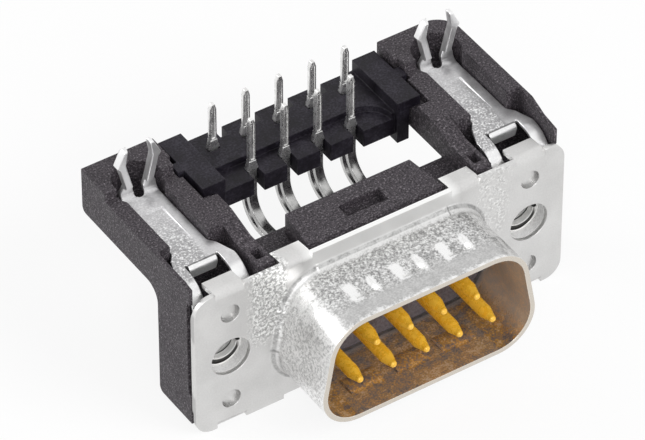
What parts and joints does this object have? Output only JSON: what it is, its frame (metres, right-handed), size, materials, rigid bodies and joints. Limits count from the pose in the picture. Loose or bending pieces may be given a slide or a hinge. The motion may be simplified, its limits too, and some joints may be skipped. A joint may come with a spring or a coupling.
{
  "type": "electrical connector",
  "caption": "Right-angle board connector with a drawn keystone collar round gold pins, bent solder tails in an organiser, forked board locks and threaded inserts.",
  "frame": {"origin": "centre of the flange's front face, on the mating axis midway between the screw holes", "axes": "+X along the flange, -Y out of the collar towards the mating plug, +Z towards the circuit board"},
  "size_m": [0.0308, 0.0208, 0.0172],
  "materials": {
    "bracket_plastic": "matte",
    "dark_plastic": "satin",
    "shell_tin": "satin",
    "strap_tin": "bright",
    "insert_steel": "satin",
    "contact_gold": "bright"
  },
  "bodies": {
    "root": {"front_shell": "shell_tin", "rear_plate": "shell_tin", "front_insulator": "dark_plastic", "rear_insulator": "dark_plastic", "bracket": "bracket_plastic", "pin_organiser": "dark_plastic", "board_lock_left": "strap_tin", "board_lock_right": "strap_tin", "threaded_insert_left": "insert_steel", "threaded_insert_right": "insert_steel", "contact_1": "contact_gold", "contact_2": "contact_gold", "contact_3": "contact_gold", "contact_4": "contact_gold", "contact_5": "contact_gold", "contact_6": "contact_gold", "contact_7": "contact_gold", "contact_8": "contact_gold", "contact_9": "contact_gold"}
  },
  "joints": []
}
